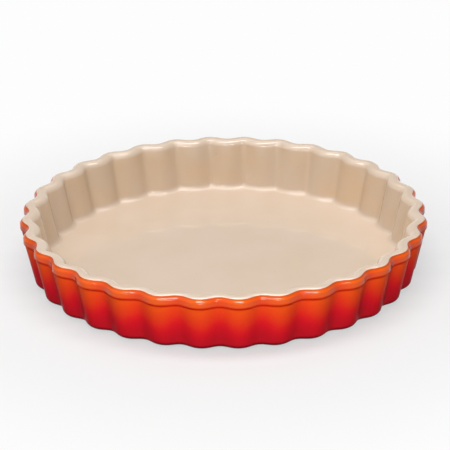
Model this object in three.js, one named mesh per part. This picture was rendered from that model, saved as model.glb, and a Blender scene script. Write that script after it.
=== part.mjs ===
// A fluted pie dish of glazed stoneware: one pressed clay body under coats of glaze.
// The frame is in millimetres, +Z up, with its origin on the table under the middle of the dish.
import * as THREE from "three";

// Driving dimensions of the glazed dish
const RIM_DIAMETER = 280; // across the flute crests of the collar
const TOTAL_HEIGHT = 41; // from the table to the top of the rim
const WALL_FLARE = 8; // how much further out the rim is than the bottom of the wall
const WALL_THICKNESS = 8.4; // at the bottom, from the edge of the floor to the edge of the base
const FLOOR_THICKNESS = 4.3; // clay and both glazes
const RIM_WIDTH = 9; // from the collar's face to the inner wall, at the top
const RIM_ROUNDING = 3; // radius of the rim's outer edge
const RIM_INNER_ROUNDING = 5; // radius of the rim's inner edge
const COLLAR_HEIGHT = 6.8; // the raised band under the rim
const COLLAR_STEP = 0.9; // how far the band stands out of the wall
const FLOOR_ROUNDING = 2.4; // radius inside, between the wall and the floor
const BASE_ROUNDING = 4.3; // radius outside, between the wall and the underside

// Flutes around the wall
const FLUTE_COUNT = 32;
const FLUTE_DEPTH = 4; // from crest to valley, measured at the collar
const CREST_BREADTH = 0.09; // how much broader the crests are than the valleys
const FACETS_PER_FLUTE = 6;

// Bare foot ring that the dish stands on
const FOOT_INSET = 14; // from the edge of the base in to the ring
const FOOT_WIDTH = 5;
const FOOT_HEIGHT = 1.5; // below the glazed underside

// Coats of glaze
const GLAZE_THICKNESS = 0.5;
const GLAZE_LINE_SHARE = 1 / 3; // share of the rim's outer rounding that the cream covers
const RED_THICKNESS = 0.4; // at the bottom of the wall
const RED_EDGE_THICKNESS = 0.15; // where the spray thins out under the collar

// One level of the profile: its radius on a flute crest, its height and whether flutes cut it.
function level(radius, height, fluted = true) {
  return { radius, height, fluted };
}

function flat(profileLevel) {
  return new THREE.Vector2(profileLevel.radius, profileLevel.height);
}

// A corner between two neighbours, rounded to an arc that is given at some shares of its length.
function roundedCorner(before, corner, after, rounding, shares) {
  const point = flat(corner);
  const back = flat(before).sub(point).normalize();
  const ahead = flat(after).sub(point).normalize();
  const halfAngle = Math.acos(back.dot(ahead)) / 2;
  const toCentre = back.clone().add(ahead).normalize();
  const centre = toCentre.multiplyScalar(rounding / Math.sin(halfAngle)).add(point);
  const start = back.clone().multiplyScalar(rounding / Math.tan(halfAngle)).add(point);
  const turn = Math.sign(ahead.cross(back)) * (Math.PI - 2 * halfAngle);
  return shares.map((share) => {
    const onArc = start.clone().rotateAround(centre, turn * share);
    return level(onArc.x, onArc.y);
  });
}

// The profile moved along its outward side by a distance for each of its levels.
function offsetProfile(profile, distances) {
  const normals = profile.slice(1).map((next, index) => {
    const run = flat(next).sub(flat(profile[index])).normalize();
    return new THREE.Vector2(run.y, -run.x);
  });
  return profile.map((from, index) => {
    const normal = normals[Math.max(index - 1, 0)];
    const nextNormal = normals[Math.min(index, normals.length - 1)];
    const mitre = normal.clone().add(nextNormal).divideScalar(1 + normal.dot(nextNormal));
    const moved = flat(from).addScaledVector(mitre, distances[index]);
    return level(moved.x, moved.y, from.fluted);
  });
}

// Share of the flutes' depth at an angle round the dish: 0 on a crest, 1 in a valley.
function fluteShare(angle) {
  const turn = FLUTE_COUNT * angle;
  return Math.sin(turn / 2) ** 2 - CREST_BREADTH * Math.sin(turn) ** 2;
}

// How fast that share grows with the angle
function fluteSlope(angle) {
  const turn = FLUTE_COUNT * angle;
  return (FLUTE_COUNT / 2) * Math.sin(turn) * (1 - 4 * CREST_BREADTH * Math.cos(turn));
}

function direction(angle) {
  return new THREE.Vector2(Math.sin(angle), Math.cos(angle));
}

// Where the flutes move a point of the profile, seen along the axis. They press the outer face in
// proportion to its radius, and the inside keeps its distance to the outer face.
function flutedPlace({ radius, height }, angle) {
  const climb = (height - FOOT_HEIGHT) / (TOTAL_HEIGHT - FOOT_HEIGHT);
  const ring = Math.max(radius, baseRadius + WALL_FLARE * climb);
  const inset = Math.min(ring - radius, RIM_WIDTH);
  const depth = FLUTE_DEPTH / rimRadius;
  const pressedRing = ring * (1 - depth * fluteShare(angle));
  const lean = Math.atan2(ring * depth * fluteSlope(angle), pressedRing);
  const place = direction(angle).multiplyScalar(pressedRing);
  place.addScaledVector(direction(angle + lean), -inset);
  return place.multiplyScalar(radius / (ring - inset));
}

// Turns a profile round the Z axis and presses the flutes into it.
function flutedLathe(profile) {
  const geometry = new THREE.LatheGeometry(profile.map(flat), FLUTE_COUNT * FACETS_PER_FLUTE);
  const position = geometry.getAttribute("position");
  for (let vertex = 0; vertex < position.count; vertex++) {
    const here = profile[vertex % profile.length];
    if (!here.fluted) continue;
    const place = flutedPlace(here, Math.atan2(position.getX(vertex), position.getZ(vertex)));
    position.setX(vertex, place.x);
    position.setZ(vertex, place.y);
  }
  matchDiagonals(geometry.getIndex(), profile);
  geometry.computeVertexNormals();
  return geometry.rotateX(Math.PI / 2);
}

// Facets are split from their lower to their upper edge the same way whichever way the profile
// runs, so two coats that share a surface share its triangles too.
function matchDiagonals(index, profile) {
  const levelsToNext = profile.length - 1;
  const indicesPerFacet = 6;
  for (let facet = 0; facet * indicesPerFacet < index.count; facet++) {
    const here = profile[facet % levelsToNext];
    const next = profile[(facet % levelsToNext) + 1];
    const climb = next.height - here.height || next.radius - here.radius;
    if (climb > 0) continue;
    const first = facet * indicesPerFacet;
    const [a, b, d, c] = index.array.slice(first, first + indicesPerFacet);
    index.array.set([a, b, c, a, c, d], first);
  }
}

// Heights and radii that follow from the driving dimensions
const rimRadius = RIM_DIAMETER / 2;
const baseRadius = rimRadius - WALL_FLARE;
const footRadius = baseRadius - FOOT_INSET;
const footInnerRadius = footRadius - FOOT_WIDTH;
const floorHeight = FOOT_HEIGHT + FLOOR_THICKNESS;
const clayUnderside = FOOT_HEIGHT + GLAZE_THICKNESS;
const collarBottom = TOTAL_HEIGHT - COLLAR_HEIGHT;
const rimRounding = Math.min(RIM_ROUNDING, RIM_WIDTH / 2);
const rimInnerRounding = Math.min(RIM_INNER_ROUNDING, RIM_WIDTH - rimRounding);

// Sharp corners of the glazed surface, from the foot ring up the outside and in over the rim
const atFoot = level(footRadius, FOOT_HEIGHT, false);
const baseCorner = level(baseRadius, FOOT_HEIGHT);
const wallTop = level(rimRadius - COLLAR_STEP, collarBottom - COLLAR_STEP);
const collarEdge = level(rimRadius, collarBottom);
const rimOutside = level(rimRadius, TOTAL_HEIGHT);
const rimInside = level(rimRadius - RIM_WIDTH, TOTAL_HEIGHT);
const floorCorner = level(baseRadius - WALL_THICKNESS, floorHeight);
const floorMiddle = level(0, floorHeight, false);

// The same surface with its corners rounded, cut in two where the cream meets the orange
const halves = [0, 0.5, 1];
const glazeLineSplit = [0, 1 - GLAZE_LINE_SHARE, 1];
const baseArc = roundedCorner(atFoot, baseCorner, wallTop, BASE_ROUNDING, halves);
const outerRimArc = roundedCorner(collarEdge, rimOutside, rimInside, rimRounding, glazeLineSplit);
const innerRimArc = roundedCorner(rimOutside, rimInside, floorCorner, rimInnerRounding, halves);
const floorArc = roundedCorner(rimInside, floorCorner, floorMiddle, FLOOR_ROUNDING, halves);
const [collarTop, glazeLine, rimFlat] = outerRimArc;
const outside = [atFoot, ...baseArc, wallTop, collarEdge, collarTop, glazeLine];
const inside = [rimFlat, ...innerRimArc, ...floorArc, floorMiddle];
const glazed = [...outside, ...inside];

// The clay lies one coat of glaze under that surface.
const clay = offsetProfile(glazed, glazed.map(() => -GLAZE_THICKNESS));
const clayOutside = clay.slice(0, outside.length);
const clayInside = clay.slice(outside.length - 1);

// Pressed stoneware body with its bare foot ring
const bodyProfile = [
  level(0, clayUnderside, false),
  level(footInnerRadius, clayUnderside, false),
  level(footInnerRadius, 0, false),
  level(footRadius, 0, false),
  ...clay,
];

// Cream glaze on the floor, the inner wall and the top of the rim
const innerGlazeProfile = [...clayInside.toReversed(), glazeLine, ...inside];

// Orange glaze from the rim's outer edge down to the foot ring
const outerGlazeProfile = [...outside, ...clayOutside.toReversed(), atFoot];

// Red glaze sprayed over the orange from below, thinning out under the collar
const sprayed = [...baseArc, wallTop];
const sprayThickness = [...baseArc.map(() => RED_THICKNESS), RED_EDGE_THICKNESS];
const sprayFace = offsetProfile(sprayed, sprayThickness);
const sprayProfile = [...sprayFace, ...sprayed.toReversed(), sprayFace[0]];

// Glaze on the underside inside the foot ring
const undersideGlazeProfile = [
  level(0, FOOT_HEIGHT, false),
  level(footInnerRadius, FOOT_HEIGHT, false),
  level(footInnerRadius, clayUnderside, false),
  level(0, clayUnderside, false),
];

// The assembly: the clay and each coat as a piece of its own
function piece(name, profile, color, roughness) {
  const material = new THREE.MeshStandardMaterial({ color, roughness, metalness: 0 });
  const mesh = new THREE.Mesh(flutedLathe(profile), material);
  mesh.name = name;
  return mesh;
}

const pieDish = new THREE.Group();
pieDish.add(
  piece("stoneware_body", bodyProfile, "#cbb898", 0.85),
  piece("inner_glaze", innerGlazeProfile, "#e2cdb2", 0.12),
  piece("outer_glaze", outerGlazeProfile, "#ee5c1a", 0.1),
  piece("red_overspray", sprayProfile, "#c41a26", 0.1),
  piece("underside_glaze", undersideGlazeProfile, "#c8321f", 0.2),
);

export default pieDish;
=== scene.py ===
"""A fluted pie dish of glazed stoneware: one pressed clay body under four coats of glaze."""
import math

import bpy
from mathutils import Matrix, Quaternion, Vector


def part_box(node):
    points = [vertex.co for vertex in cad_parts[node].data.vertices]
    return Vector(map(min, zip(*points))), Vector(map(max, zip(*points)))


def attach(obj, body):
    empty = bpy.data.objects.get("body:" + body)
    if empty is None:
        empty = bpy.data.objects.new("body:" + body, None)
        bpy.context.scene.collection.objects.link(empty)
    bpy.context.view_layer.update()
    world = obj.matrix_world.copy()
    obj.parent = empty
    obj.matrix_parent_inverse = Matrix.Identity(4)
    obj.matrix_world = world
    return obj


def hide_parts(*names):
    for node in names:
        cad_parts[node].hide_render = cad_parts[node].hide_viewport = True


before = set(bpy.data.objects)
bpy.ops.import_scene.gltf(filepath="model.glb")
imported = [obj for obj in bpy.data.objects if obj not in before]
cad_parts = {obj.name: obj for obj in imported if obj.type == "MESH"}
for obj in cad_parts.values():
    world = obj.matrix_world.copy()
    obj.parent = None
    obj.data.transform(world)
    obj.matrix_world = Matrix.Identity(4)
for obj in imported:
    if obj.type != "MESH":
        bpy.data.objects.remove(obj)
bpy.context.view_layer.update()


# Stoneware body
# One pressing of buff clay: floor, fluted wall, raised collar and rim in a single piece.
# Glaze hides all of it but the foot ring, which is wiped and ground bare to stand on.
MM = 0.001

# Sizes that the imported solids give
rim_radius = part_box("outer_glaze")[1].x
rim_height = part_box("inner_glaze")[1].z
wall_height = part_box("red_overspray")[1].z
foot_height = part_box("underside_glaze")[0].z
foot_inner_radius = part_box("underside_glaze")[1].x
glaze_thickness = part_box("underside_glaze")[1].z - foot_height
floor_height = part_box("inner_glaze")[0].z + glaze_thickness

# Sizes of the dish's outline
WALL_FLARE = 8 * MM
WALL_THICKNESS = 8.4 * MM
RIM_WIDTH = 9 * MM
RIM_ROUNDING = 3.4 * MM
BEVEL_ROUNDING = 2.2 * MM
BEVEL_WIDTH = 1.85 * MM
BEVEL_DROP = 2.85 * MM
BEVEL_FLAT = (0.24, 0.41)  # shares of the bevel between which it is flat
RIM_INNER_ROUNDING = 5 * MM
COLLAR_STEP = 0.9 * MM
STEP_ROUNDING = 1.3 * MM
FLOOR_ROUNDING = 4 * MM
BASE_ROUNDING = 4.3 * MM
FOOT_WIDTH = 5 * MM
FOOT_ROUNDING = 0.5 * MM

# Flutes pressed into the wall
FLUTES = 32
FLUTE_DEPTH = 4 * MM
CREST_BREADTH = 0.09
COLUMNS_PER_FLUTE = 20

base_radius = rim_radius - WALL_FLARE
foot_radius = foot_inner_radius + FOOT_WIDTH


def rounded_outline(corners, longest_run=12 * MM, arc_step=math.radians(6)):
    """Rounds an outline's corners, given as (radius, height, rounding, flute share)."""
    arcs = []
    for index, (radius, height, rounding, flutes) in enumerate(corners):
        corner = Vector((radius, height))
        if rounding == 0:
            arcs.append([(corner, flutes)])
            continue
        back = (Vector(corners[index - 1][:2]) - corner).normalized()
        ahead = (Vector(corners[index + 1][:2]) - corner).normalized()
        half = back.angle(ahead) / 2
        centre = corner + (back + ahead).normalized() * rounding / math.sin(half)
        spoke = corner + back * rounding / math.tan(half) - centre
        sweep = math.copysign(math.pi - 2 * half, ahead.cross(back))
        steps = max(2, math.ceil(abs(sweep) / arc_step))
        turns = [sweep * step / steps for step in range(steps + 1)]
        arcs.append([(centre + turned(spoke, turn), flutes) for turn in turns])
    points = arcs[0]
    for arc in arcs[1:]:
        (start, start_flutes), (end, end_flutes) = points[-1], arc[0]
        runs = math.ceil((end - start).length / longest_run)
        shares = [run / runs for run in range(1, runs)]
        points += [
            (start.lerp(end, share), start_flutes + (end_flutes - start_flutes) * share)
            for share in shares
        ]
        points += arc
    return points


def turned(spoke, turn):
    """A spoke of an arc in the outline's plane, turned by an angle."""
    cosine, sine = math.cos(turn), math.sin(turn)
    return Vector((spoke.x * cosine - spoke.y * sine, spoke.x * sine + spoke.y * cosine))


def moved_outline(outline, distances):
    """The outline moved along its outer side, by a distance for each of its points."""
    moved = []
    for index, (spot, flutes) in enumerate(outline):
        before = outline[max(index - 1, 0)][0]
        after = outline[min(index + 1, len(outline) - 1)][0]
        run = (after - before).normalized()
        moved.append((spot + Vector((run.y, -run.x)) * distances[index], flutes))
    return moved


def flute_share(angle):
    """Share of the flutes' depth at an angle round the dish: 0 on a crest, 1 in a valley."""
    turn = FLUTES * angle
    return math.sin(turn / 2) ** 2 - CREST_BREADTH * math.sin(turn) ** 2


def fluted_point(spot, flutes, angle):
    """A point of the outline swung round the axis. The inside keeps its distance to the outer face."""
    outer_face = base_radius + WALL_FLARE * (spot.y - foot_height) / (rim_height - foot_height)
    ring = max(spot.x, outer_face)
    inset = min(ring - spot.x, RIM_WIDTH)
    depth = flutes * FLUTE_DEPTH / rim_radius
    radius = ring * (1 - depth * flute_share(angle))
    slope = ring * depth * FLUTES / 2 * math.sin(FLUTES * angle)
    slope *= 1 - 4 * CREST_BREADTH * math.cos(FLUTES * angle)
    lean = math.atan2(slope, radius)
    radial = Vector((math.sin(angle), -math.cos(angle)))
    outward = Vector((math.sin(angle + lean), -math.cos(angle + lean)))
    place = (radial * radius - outward * inset) * spot.x / (ring - inset)
    return (*place, spot.y)


def turn_piece(name, outline, material):
    """Turns a closed outline round the dish's axis and presses the flutes into it."""
    columns = FLUTES * COLUMNS_PER_FLUTE
    angles = [2 * math.pi * column / columns for column in range(columns)]
    vertices, valley, rows = [], [], []
    for spot, flutes in outline:
        on_axis = spot.x < 1e-9
        around = angles[:1] if on_axis else angles
        first = len(vertices)
        for angle in around:
            vertices.append(fluted_point(spot, flutes, angle))
            valley.append(flutes * flute_share(angle))
        rows.append([first] * columns if on_axis else list(range(first, first + columns)))
    ends_on_axis = outline[0][0].x < 1e-9
    next_rows = rows[1:] if ends_on_axis else rows[1:] + rows[:1]
    faces = []
    for row, next_row in zip(rows, next_rows):
        for column in range(columns):
            beside = (column + 1) % columns
            corners = (row[column], row[beside], next_row[beside], next_row[column])
            faces.append(tuple(dict.fromkeys(corners)))
    mesh = bpy.data.meshes.new(name)
    mesh.from_pydata(vertices, [], faces)
    mesh.attributes.new("valley", "FLOAT", "POINT").data.foreach_set("value", valley)
    mesh.shade_smooth()
    mesh.set_sharp_from_angle(angle=math.radians(40))
    mesh.materials.append(material)
    piece = bpy.data.objects.new(name, mesh)
    bpy.context.scene.collection.objects.link(piece)
    return piece


def linear(colour):
    """An sRGB hex colour as linear red, green, blue and alpha."""
    channels = [int(colour[start : start + 2], 16) / 255 for start in (1, 3, 5)]
    dark = [channel / 12.92 for channel in channels]
    bright = [((channel + 0.055) / 1.055) ** 2.4 for channel in channels]
    return [*(low if channel <= 0.04045 else high for channel, low, high in zip(channels, dark, bright)), 1]


def add_node(material, kind, inputs=None, **settings):
    """Adds a node with its settings. An input is a value, an output, or a node for its first output."""
    tree = material.node_tree
    node = tree.nodes.new(kind)
    for name, value in settings.items():
        setattr(node, name, value)
    for name, value in (inputs or {}).items():
        in_use = [socket for socket in node.inputs if socket.enabled]
        if isinstance(name, int):
            socket = in_use[name]
        else:
            socket = next(one for one in in_use if one.name == name)
        if isinstance(value, bpy.types.Node):
            value = next(output for output in value.outputs if output.enabled)
        if isinstance(value, bpy.types.NodeSocket):
            tree.links.new(value, socket)
        else:
            socket.default_value = value
    return node


def new_material(name):
    """An empty node material."""
    material = bpy.data.materials.new(name)
    material.use_nodes = True
    material.node_tree.nodes.clear()
    return material


# Fired buff stoneware, ground on the foot: dull and sandy, with dark grit and fine grinding marks
# that run round the ring.
GRIT = 0.7 * MM
CLAY_PATCH = 12 * MM
GRINDING = 0.5 * MM  # real marks are about half as far apart, too fine to show
GRIT_HEIGHT = 0.05 * MM
clay = new_material("fired_buff_stoneware")
where = add_node(clay, "ShaderNodeTexCoord").outputs["Object"]
grit = add_node(clay, "ShaderNodeTexNoise", {"Vector": where, "Scale": 1 / GRIT, "Detail": 3.0})
patch = add_node(clay, "ShaderNodeTexNoise", {"Vector": where, "Scale": 1 / CLAY_PATCH})
clay_tone = add_node(
    clay, "ShaderNodeMix",
    {"Factor": patch, "A": linear("#CDB896"), "B": linear("#B79D79")}, data_type="RGBA",
)
dark_grit = add_node(
    clay, "ShaderNodeMapRange", {"Value": grit, "From Min": 0.58, "From Max": 0.7, "To Max": 0.55}
)
clay_tone = add_node(
    clay, "ShaderNodeMix",
    {"Factor": dark_grit, "A": clay_tone, "B": linear("#7D6446")}, data_type="RGBA",
)
marks = add_node(
    clay, "ShaderNodeTexWave", {"Vector": where, "Scale": 1 / GRINDING / 20, "Distortion": 2.0},
    wave_type="RINGS", rings_direction="Z",
)
rough = add_node(clay, "ShaderNodeMath", {0: marks, 1: 0.4, 2: grit}, operation="MULTIPLY_ADD")
rough = add_node(clay, "ShaderNodeBump", {"Height": rough, "Distance": GRIT_HEIGHT, "Strength": 1.0})
clay_shader = add_node(
    clay, "ShaderNodeBsdfPrincipled", {"Base Color": clay_tone, "Roughness": 0.85, "Normal": rough}
)
add_node(clay, "ShaderNodeOutputMaterial", {"Surface": clay_shader})

bevel_strip = [
    (rim_radius - BEVEL_WIDTH * share, rim_height - BEVEL_DROP * (1 - share), 0, 1)
    for share in BEVEL_FLAT
]
glazed_corners = [
    (foot_radius, foot_height, 0, 0),
    (base_radius, foot_height, BASE_ROUNDING, 1),
    (rim_radius - COLLAR_STEP, wall_height, STEP_ROUNDING, 1),
    (rim_radius, wall_height + COLLAR_STEP, STEP_ROUNDING, 1),
    (rim_radius, rim_height - BEVEL_DROP, BEVEL_ROUNDING, 1),
    *bevel_strip,
    (rim_radius - BEVEL_WIDTH, rim_height, RIM_ROUNDING, 1),
    (rim_radius - RIM_WIDTH, rim_height, RIM_INNER_ROUNDING, 1),
    (base_radius - WALL_THICKNESS, floor_height, FLOOR_ROUNDING, 1),
    (0, floor_height, 0, 0),
]
glazed = rounded_outline(glazed_corners)
bare_clay = moved_outline(glazed, [-glaze_thickness] * len(glazed))
foot_corners = [
    (0, foot_height + glaze_thickness, 0, 0),
    (foot_inner_radius, foot_height + glaze_thickness, 0, 0),
    (foot_inner_radius, 0, FOOT_ROUNDING, 0),
    (foot_radius, 0, FOOT_ROUNDING, 0),
    (foot_radius, foot_height + glaze_thickness, 0, 0),
]
foot = rounded_outline(foot_corners, longest_run=20 * MM)
body = turn_piece("pressed_stoneware_body", foot + bare_clay[1:], clay)
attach(body, "root")
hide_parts("stoneware_body")


# Cream glaze inside
# Poured into the dish and over the top of the rim, then fired glossy. It pools on the floor
# and runs thin down the wall, where the clay warms it.
GLAZE_LINE_INSET = 1.6 * MM
glaze_line = next(
    index for index, (spot, _) in enumerate(glazed)
    if spot.y > rim_height - BEVEL_DROP and spot.x < rim_radius - GLAZE_LINE_INSET
)

# Glossy cream glaze, poured and fired: smooth as glass, faintly wavy, pale where it lies thick on the
# floor and rim, warmer where it ran thin on the wall, with a few specks of iron from the clay.
GLAZE_WAVE = 14 * MM
WAVE_HEIGHT = 0.012 * MM
CLOUD = 35 * MM
SPECK = 0.9 * MM  # real specks are about half as wide, too fine to show
cream = new_material("glossy_cream_glaze")
where = add_node(cream, "ShaderNodeTexCoord").outputs["Object"]
height = add_node(cream, "ShaderNodeSeparateXYZ", {"Vector": where}).outputs["Z"]
above_floor = add_node(
    cream, "ShaderNodeMapRange",
    {"Value": height, "From Min": floor_height + 0.5 * MM, "From Max": floor_height + 6 * MM},
    interpolation_type="SMOOTHSTEP",
)
below_rim = add_node(
    cream, "ShaderNodeMapRange",
    {"Value": height, "From Min": rim_height - 1 * MM, "From Max": rim_height - 5 * MM},
    interpolation_type="SMOOTHSTEP",
)
thin = add_node(cream, "ShaderNodeMath", {0: above_floor, 1: below_rim}, operation="MULTIPLY")
cream_tone = add_node(
    cream, "ShaderNodeMix",
    {"Factor": thin, "A": linear("#D7C3B0"), "B": linear("#D6BA9B")}, data_type="RGBA",
)
cloud = add_node(cream, "ShaderNodeTexNoise", {"Vector": where, "Scale": 1 / CLOUD, "Detail": 3.0})
cloud = add_node(cream, "ShaderNodeMapRange", {"Value": cloud, "From Min": 0.35, "From Max": 0.7})
cream_tone = add_node(
    cream, "ShaderNodeMix",
    {"Factor": cloud, "A": cream_tone, "B": linear("#D4BFA9")}, data_type="RGBA",
)
speck = add_node(
    cream, "ShaderNodeTexVoronoi", {"Vector": where, "Scale": 1 / (9 * SPECK), "Randomness": 1.0}
)
speck = add_node(
    cream, "ShaderNodeMapRange",
    {"Value": speck.outputs["Distance"], "From Min": 0.08, "From Max": 0.03, "To Max": 0.25},
)
cream_tone = add_node(
    cream, "ShaderNodeMix",
    {"Factor": speck, "A": cream_tone, "B": linear("#A98D6C")}, data_type="RGBA",
)
wave = add_node(cream, "ShaderNodeTexNoise", {"Vector": where, "Scale": 1 / GLAZE_WAVE, "Detail": 1.0})
wave = add_node(cream, "ShaderNodeBump", {"Height": wave, "Distance": WAVE_HEIGHT, "Strength": 1.0})
cream_shader = add_node(
    cream, "ShaderNodeBsdfPrincipled",
    {"Base Color": cream_tone, "Roughness": 0.06, "IOR": 1.6, "Normal": wave},
)
add_node(cream, "ShaderNodeOutputMaterial", {"Surface": cream_shader})

inner_coat = turn_piece(
    "cream_glaze_inside", bare_clay[glaze_line:][::-1] + glazed[glaze_line:], cream
)
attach(inner_coat, "root")
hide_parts("inner_glaze")


# Orange glaze outside
# Sprayed on from the rim's outer edge, over the collar and down the wall to the foot ring, and
# fired glossy on the clay.

# Orange glaze with red sprayed over it from below: crimson at the foot, thinning out in a soft cloud of
# droplets that climbs higher in the valleys than on the crests; the valleys' deeper red is partly the
# spray and partly painted shade. Painted shade darkens the step under the collar, the collar's valleys and
# the rounding that turns under to the foot, and a band just under the rim's top is browner. Sprayed
# on, it lies smoother than the poured cream.
VALLEY_CLIMB_AND_SHADE = 6 * MM
SPRAY_CLOUD = 9 * MM
SPRAY_WAVE = 0.004 * MM
DROPLET = 1.3 * MM  # real droplets are about a third as wide, too fine to show
SPRAY_COLOURS = [
    (4 * MM, "#C21926"),
    (8 * MM, "#CD1927"),
    (12 * MM, "#D81B27"),
    (16 * MM, "#E52425"),
    (22 * MM, "#EF3E20"),
    (30 * MM, "#FA541D"),
    (37 * MM, "#EE5C0E"),
]


def sprayed_glaze(name, roughness, specular):
    """A glaze that goes from crimson at the foot to orange at the collar."""
    glaze = new_material(name)
    where = add_node(glaze, "ShaderNodeTexCoord").outputs["Object"]
    height = add_node(glaze, "ShaderNodeSeparateXYZ", {"Vector": where}).outputs["Z"]
    valley = add_node(glaze, "ShaderNodeAttribute", attribute_name="valley").outputs["Fac"]
    # Redder higher up in the valleys: partly the spray, partly painted shade in the hollows.
    drop = add_node(
        glaze, "ShaderNodeMath", {0: valley, 1: -VALLEY_CLIMB_AND_SHADE, 2: height}, operation="MULTIPLY_ADD"
    )
    cloud = add_node(glaze, "ShaderNodeTexNoise", {"Vector": where, "Scale": 1 / SPRAY_CLOUD})
    drop = add_node(glaze, "ShaderNodeMath", {0: cloud, 1: 3 * MM, 2: drop}, operation="MULTIPLY_ADD")
    droplets = add_node(glaze, "ShaderNodeTexNoise", {"Vector": where, "Scale": 1 / DROPLET})
    drop = add_node(glaze, "ShaderNodeMath", {0: droplets, 1: 2 * MM, 2: drop}, operation="MULTIPLY_ADD")
    lowest, highest = SPRAY_COLOURS[0][0], SPRAY_COLOURS[-1][0]
    mean_scatter = 2.5 * MM
    share = add_node(
        glaze, "ShaderNodeMapRange",
        {"Value": drop, "From Min": lowest + mean_scatter, "From Max": highest + mean_scatter},
    )
    tone = add_node(glaze, "ShaderNodeValToRGB", {"Fac": share})
    stops = tone.color_ramp.elements
    while len(stops) < len(SPRAY_COLOURS):
        stops.new(1.0)
    for stop, (at_height, colour) in zip(stops, SPRAY_COLOURS):
        stop.position = (at_height - lowest) / (highest - lowest)
        stop.color = linear(colour)
    # Painted shade: a dark red band in the step under the collar.
    step_height = wall_height + 0.6 * MM
    off_step = add_node(glaze, "ShaderNodeMath", {0: height, 1: step_height}, operation="SUBTRACT")
    off_step = add_node(glaze, "ShaderNodeMath", {0: off_step}, operation="ABSOLUTE")
    step_shade = add_node(
        glaze, "ShaderNodeMapRange",
        {"Value": off_step, "From Min": 1.9 * MM, "From Max": 0.2 * MM, "To Max": 0.8},
        interpolation_type="SMOOTHSTEP",
    )
    tone = add_node(
        glaze, "ShaderNodeMix", {"Factor": step_shade, "A": tone, "B": linear("#C60A04")}, data_type="RGBA"
    )
    # Painted shade: darker red in the collar's valleys.
    on_collar = add_node(
        glaze, "ShaderNodeMapRange",
        {"Value": height, "From Min": wall_height, "From Max": wall_height + 2 * MM, "To Max": 0.45},
    )
    collar_valley_shade = add_node(glaze, "ShaderNodeMath", {0: on_collar, 1: valley}, operation="MULTIPLY")
    tone = add_node(
        glaze, "ShaderNodeMix", {"Factor": collar_valley_shade, "A": tone, "B": linear("#CC3808")}, data_type="RGBA"
    )
    # Browner in a band just under the rim's top, over the bevel.
    over_edge = add_node(
        glaze, "ShaderNodeMapRange",
        {
            "Value": height, "From Min": rim_height - 2 * MM, "From Max": rim_height - 0.9 * MM,
            "To Max": 0.65,
        },
        interpolation_type="SMOOTHSTEP",
    )
    tone = add_node(
        glaze, "ShaderNodeMix", {"Factor": over_edge, "A": tone, "B": linear("#A8480C")}, data_type="RGBA"
    )
    # Painted shade: near-black red on the rounding that turns under to the foot.
    base_shade = add_node(
        glaze, "ShaderNodeMapRange",
        {"Value": height, "From Min": 5.5 * MM, "From Max": 2.5 * MM, "To Max": 0.85},
        interpolation_type="SMOOTHSTEP",
    )
    tone = add_node(
        glaze, "ShaderNodeMix",
        {"Factor": base_shade, "A": tone, "B": linear("#5A0410")}, data_type="RGBA",
    )
    wave = add_node(glaze, "ShaderNodeTexNoise", {"Vector": where, "Scale": 1 / GLAZE_WAVE, "Detail": 1.0})
    wave = add_node(glaze, "ShaderNodeBump", {"Height": wave, "Distance": SPRAY_WAVE, "Strength": 1.0})
    gloss = add_node(
        glaze, "ShaderNodeBsdfPrincipled",
        {
            "Base Color": tone, "Roughness": roughness, "IOR": 1.5, "Specular IOR Level": specular,
            "Normal": wave,
        },
    )
    add_node(glaze, "ShaderNodeOutputMaterial", {"Surface": gloss})
    return glaze


orange = sprayed_glaze("glossy_orange_glaze", 0.04, 0.22)
outer_coat = turn_piece(
    "orange_glaze_outside", glazed[: glaze_line + 1] + bare_clay[: glaze_line + 1][::-1], orange
)
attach(outer_coat, "root")
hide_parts("outer_glaze")


# Red glaze over the wall
# Sprayed from below over the wet orange, thick at the foot and thinning out under the collar, and
# fired into it.
RED_THICKNESS = 0.4 * MM
RED_EDGE = 0.02 * MM
sprayed = [point for point in glazed[1:glaze_line] if point[0].y <= wall_height + 1.7 * COLLAR_STEP]
spray_depths = [
    RED_EDGE + (RED_THICKNESS - RED_EDGE) * max(0, 1 - spot.y / wall_height) for spot, _ in sprayed
]
spray_face = moved_outline(sprayed, spray_depths)
# Sprayed red glaze: the same colours under a satin skin, so that the wall shows no hard glints.
red = sprayed_glaze("sprayed_red_glaze", 0.28, 0.01)
red_coat = turn_piece("red_glaze_overspray", spray_face + sprayed[::-1], red)
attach(red_coat, "root")
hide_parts("red_overspray")


# Glaze on the underside
# A coat of the same red-orange in the recess inside the foot ring, wiped thin with a sponge before
# firing.

# Wiped red-orange glaze: glossy, thinner and browner in streaks where the sponge went round.
WIPE_STREAK = 7 * MM
under = new_material("wiped_red_orange_glaze")
where = add_node(under, "ShaderNodeTexCoord").outputs["Object"]
streak = add_node(
    under, "ShaderNodeTexWave",
    {"Vector": where, "Scale": 1 / WIPE_STREAK / 20, "Distortion": 6.0, "Detail": 3.0, "Detail Scale": 2.0},
    wave_type="RINGS", rings_direction="Z",
)
cloud = add_node(under, "ShaderNodeTexNoise", {"Vector": where, "Scale": 1 / CLOUD, "Detail": 4.0})
thin = add_node(under, "ShaderNodeMath", {0: streak, 1: cloud}, operation="MULTIPLY")
under_tone = add_node(
    under, "ShaderNodeMix",
    {"Factor": thin, "A": linear("#CB3420"), "B": linear("#A8402A")}, data_type="RGBA",
)
wave = add_node(under, "ShaderNodeTexNoise", {"Vector": where, "Scale": 1 / GLAZE_WAVE, "Detail": 1.0})
wave = add_node(under, "ShaderNodeMath", {0: streak, 1: 0.5, 2: wave}, operation="MULTIPLY_ADD")
wave = add_node(under, "ShaderNodeBump", {"Height": wave, "Distance": WAVE_HEIGHT, "Strength": 1.0})
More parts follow.
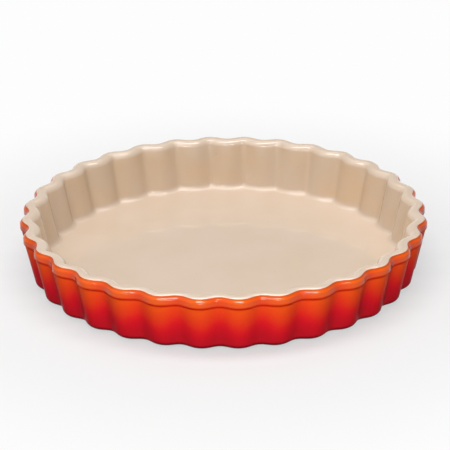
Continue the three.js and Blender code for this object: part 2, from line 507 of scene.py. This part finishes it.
under_shader = add_node(
    under, "ShaderNodeBsdfPrincipled",
    {"Base Color": under_tone, "Roughness": 0.15, "IOR": 1.5, "Normal": wave},
)
add_node(under, "ShaderNodeOutputMaterial", {"Surface": under_shader})
underside_corners = [
    (0, foot_height, 0, 0),
    (foot_inner_radius, foot_height, 0, 0),
    (foot_inner_radius, foot_height + glaze_thickness, 0, 0),
    (0, foot_height + glaze_thickness, 0, 0),
]
underside = rounded_outline(underside_corners, longest_run=20 * MM)
under_coat = turn_piece("red_orange_glaze_underside", underside, under)
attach(under_coat, "root")
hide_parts("underside_glaze")


# Table top
# A plain pale matt sheet of paper that the dish stands on, wide enough to fill the picture.

# Pale matt paper: it shows the dish's soft shadow round the foot and fades into white further out.
TABLE_SIZE = 12.0
paper = new_material("pale_matt_paper")
path = add_node(paper, "ShaderNodeLightPath")
shown = add_node(
    paper, "ShaderNodeMath",
    {0: path.outputs["Is Camera Ray"], 1: path.outputs["Is Glossy Ray"]},
    operation="MAXIMUM",
)
shown = add_node(
    paper, "ShaderNodeMath",
    {0: shown, 1: path.outputs["Is Transmission Ray"]},
    operation="MAXIMUM",
)
spot = add_node(paper, "ShaderNodeTexCoord").outputs["Object"]
reach = add_node(paper, "ShaderNodeVectorMath", {0: spot}, operation="LENGTH").outputs["Value"]
fade = add_node(
    paper, "ShaderNodeMapRange",
    {"Value": reach, "From Min": 0.14, "From Max": 0.32, "To Min": 0.56, "To Max": 1.0},
    interpolation_type="SMOOTHSTEP",
)
sheet = add_node(paper, "ShaderNodeBsdfDiffuse", {"Color": linear("#D4D4D4")})
glow = add_node(paper, "ShaderNodeEmission", {"Color": linear("#FDFDFD"), "Strength": 1.0})
backdrop = add_node(paper, "ShaderNodeMixShader", {0: fade, 1: sheet, 2: glow})
bounce = add_node(paper, "ShaderNodeBsdfDiffuse", {"Color": linear("#4C4C4C")})
paper_shader = add_node(paper, "ShaderNodeMixShader", {0: shown, 1: bounce, 2: backdrop})
add_node(paper, "ShaderNodeOutputMaterial", {"Surface": paper_shader})
half_table = TABLE_SIZE / 2
table_mesh = bpy.data.meshes.new("table_top")
table_mesh.from_pydata(
    [(x * half_table, y * half_table, 0) for x, y in ((-1, -1), (1, -1), (1, 1), (-1, 1))],
    [],
    [(0, 1, 2, 3)],
)
table_mesh.materials.append(paper)
table = bpy.data.objects.new("table_top", table_mesh)
bpy.context.scene.collection.objects.link(table)


# Studio light
# Soft boxes over, in front of, beside and behind the dish, in a room that is pale at the horizon and
# grey overhead.
def soft_box(name, place, size, power, glints=True):
    """A soft box that faces the dish. A fill without glints gives light but no reflection."""
    lamp = bpy.data.lights.new(name, "AREA")
    lamp.shape = "RECTANGLE"
    lamp.size, lamp.size_y = size
    lamp.energy = power
    box = bpy.data.objects.new(name, lamp)
    box.visible_camera = False
    box.visible_glossy = glints
    box.location = place
    box.rotation_mode = "QUATERNION"
    box.rotation_quaternion = Vector(place).to_track_quat("Z", "Y")
    bpy.context.scene.collection.objects.link(box)


def around(azimuth, elevation, distance):
    """A place seen from the dish: azimuth from the front to the right, in degrees."""
    turn, climb = math.radians(azimuth), math.radians(elevation)
    ahead = Vector((math.sin(turn), -math.cos(turn), 0)) * math.cos(climb)
    return (ahead + Vector((0, 0, math.sin(climb)))) * distance


soft_box("overhead_box", around(0, 89, 1.5), (1.4, 0.5), 17)
soft_box("front_box", around(-4, 37.5, 1.5), (1.5, 0.05), 8.8)
soft_box("fill_box", around(0, 15, 1.6), (1.0, 0.3), 0.6)
soft_box("low_front_box", around(0, 1.5, 1.2), (0.7, 0.06), 6.3)
soft_box("left_box", around(-65, 44, 1.8), (2.0, 1.6), 8.4)
soft_box("back_box", around(180, 55, 1.6), (1.0, 0.6), 2.6)
soft_box("low_back_box", around(190, 6, 1.4), (0.9, 0.1), 3.4, glints=False)
soft_box("low_right_box", around(150, 8, 1.4), (0.9, 0.1), 2.2, glints=False)

world = bpy.data.worlds.new("grey_room")
world.use_nodes = True
world.node_tree.nodes.clear()
path = add_node(world, "ShaderNodeLightPath")
shown = add_node(
    world, "ShaderNodeMath",
    {0: path.outputs["Is Camera Ray"], 1: path.outputs["Is Glossy Ray"]},
    operation="MAXIMUM",
)
shown = add_node(
    world, "ShaderNodeMath",
    {0: shown, 1: path.outputs["Is Transmission Ray"]},
    operation="MAXIMUM",
)
climb = add_node(world, "ShaderNodeSeparateXYZ", {
    "Vector": add_node(world, "ShaderNodeTexCoord").outputs["Generated"],
}).outputs["Z"]
climb = add_node(
    world, "ShaderNodeMapRange",
    {"Value": climb, "From Min": 0.14, "From Max": 0.38}, interpolation_type="SMOOTHSTEP",
)
backdrop_tone = add_node(
    world, "ShaderNodeMix",
    {"Factor": climb, "A": linear("#F2F2F2"), "B": linear("#9C9C9C")}, data_type="RGBA",
)
room_tone = add_node(
    world, "ShaderNodeMix",
    {"Factor": shown, "A": linear("#303030"), "B": backdrop_tone}, data_type="RGBA",
)
room = add_node(world, "ShaderNodeBackground", {"Color": room_tone, "Strength": 1.0})
add_node(world, "ShaderNodeOutputWorld", {"Surface": room})
bpy.context.scene.world = world
bpy.context.scene.view_settings.view_transform = "Standard"


# Camera
# A long lens held above the front edge, a little to the left of a flute crest.
VIEW_DISTANCE = 1.4763
VIEW_ELEVATION = math.radians(24.19)
VIEW_AZIMUTH = -0.0742
VIEW_ROLL = -0.0116
AIM_RIGHT = 0.93 * MM
AIM_HEIGHT = 29.99 * MM
PHOTO_WIDTH = 450
FOCAL_PIXELS = 2136
to_right = Vector((math.cos(VIEW_AZIMUTH), math.sin(VIEW_AZIMUTH), 0))
to_front = Vector((math.sin(VIEW_AZIMUTH), -math.cos(VIEW_AZIMUTH), 0))
to_eye = to_front * math.cos(VIEW_ELEVATION) + Vector((0, 0, math.sin(VIEW_ELEVATION)))
lens = bpy.data.cameras.new("long_lens")
lens.lens = FOCAL_PIXELS / PHOTO_WIDTH * lens.sensor_width
camera = bpy.data.objects.new("camera", lens)
camera.location = to_right * AIM_RIGHT + Vector((0, 0, AIM_HEIGHT)) + to_eye * VIEW_DISTANCE
camera.rotation_mode = "QUATERNION"
camera.rotation_quaternion = to_eye.to_track_quat("Z", "Y") @ Quaternion((0, 0, 1), VIEW_ROLL)
bpy.context.scene.collection.objects.link(camera)
bpy.context.scene.camera = camera
